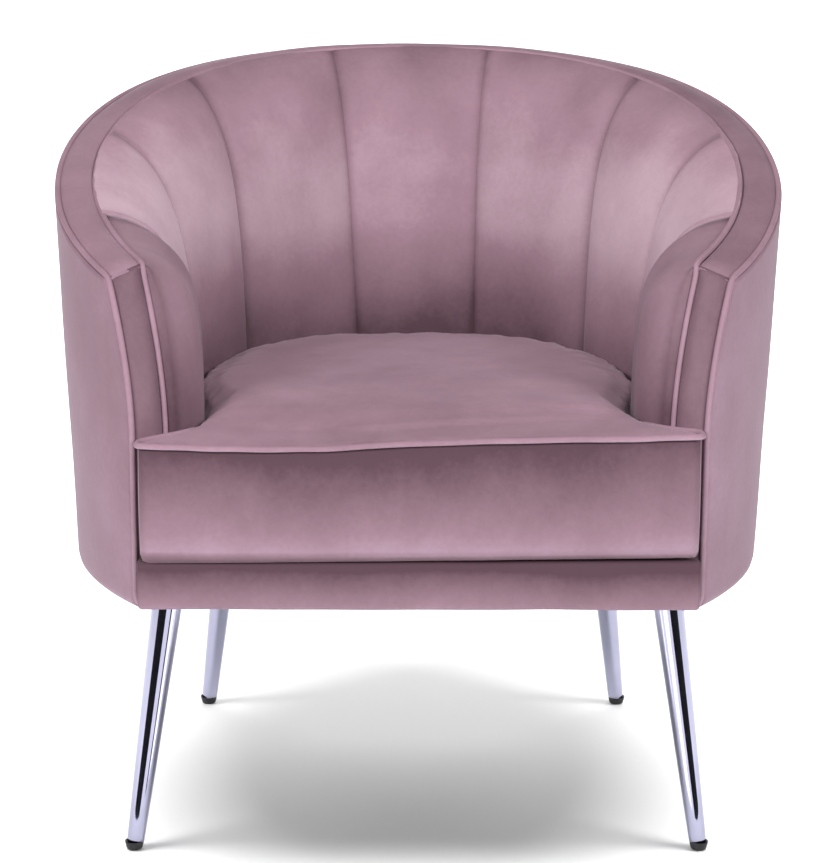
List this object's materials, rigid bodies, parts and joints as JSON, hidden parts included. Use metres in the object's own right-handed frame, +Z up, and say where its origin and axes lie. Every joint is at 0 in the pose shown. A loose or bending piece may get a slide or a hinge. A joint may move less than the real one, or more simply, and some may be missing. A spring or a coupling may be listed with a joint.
{
  "type": "upholstered armchair",
  "caption": "Velvet barrel armchair with a ribbed wraparound back, piped rim, boxed T cushion and slanted tapered chrome legs.",
  "frame": {"origin": "on the floor, under the middle of the chair's outline", "axes": "+Z up, the sitter faces -Y, +X to the right of someone looking at the chair from the front"},
  "size_m": [0.74, 0.6961, 0.761],
  "materials": {
    "velvet": "cut-pile velvet, dusky mauve, soft sheen at grazing angles",
    "piping": "velvet-covered cord, sewn in the seams",
    "beech": "planed, unfinished",
    "plywood": "bent laminate, unfinished",
    "wadding": "jute webbing faced with polyester wadding",
    "deck_fabric": "non-woven cloth",
    "dust_fabric": "black non-woven cloth",
    "foam": "polyurethane foam",
    "spring_steel": "oiled spring wire",
    "zinc_steel": "bright zinc plate",
    "chrome": "polished chrome plate on steel tube",
    "glide_plastic": "black moulded polyethylene"
  },
  "bodies": {
    "root": {"apron": "velvet", "arm_facing_left": "velvet", "arm_facing_right": "velvet", "arm_post_left": "beech", "arm_post_right": "beech", "back_panel": "plywood", "back_post_left": "beech", "back_post_right": "beech", "base_rail": "plywood", "block_screws": "zinc_steel", "corner_block_back_left": "beech", "corner_block_back_right": "beech", "corner_block_front_left": "beech", "corner_block_front_right": "beech", "deck_cloth": "deck_fabric", "dust_cover": "dust_fabric", "front_rail": "beech", "glide_back_left": "glide_plastic", "glide_back_right": "glide_plastic", "glide_front_left": "glide_plastic", "glide_front_right": "glide_plastic", "inner_liner": "wadding", "inner_piping": "piping", "leg_back_left": "chrome", "leg_back_right": "chrome", "leg_bolts": "zinc_steel", "leg_front_left": "chrome", "leg_front_right": "chrome", "lumbar_rail": "beech", "outer_cover": "velvet", "outer_piping": "piping", "rear_seat_rail": "beech", "rib_1": "velvet", "rib_2": "velvet", "rib_3": "velvet", "rib_4": "velvet", "rib_5": "velvet", "rib_6": "velvet", "rib_7": "velvet", "rib_8": "velvet", "rib_9": "velvet", "rim_pad": "velvet", "seat_core": "foam", "seat_cover": "velvet", "seat_springs": "spring_steel", "seat_welt": "piping", "side_post_left": "beech", "side_post_right": "beech", "spring_clips": "zinc_steel", "tee_nuts": "zinc_steel", "top_rail": "plywood"}
  },
  "joints": []
}
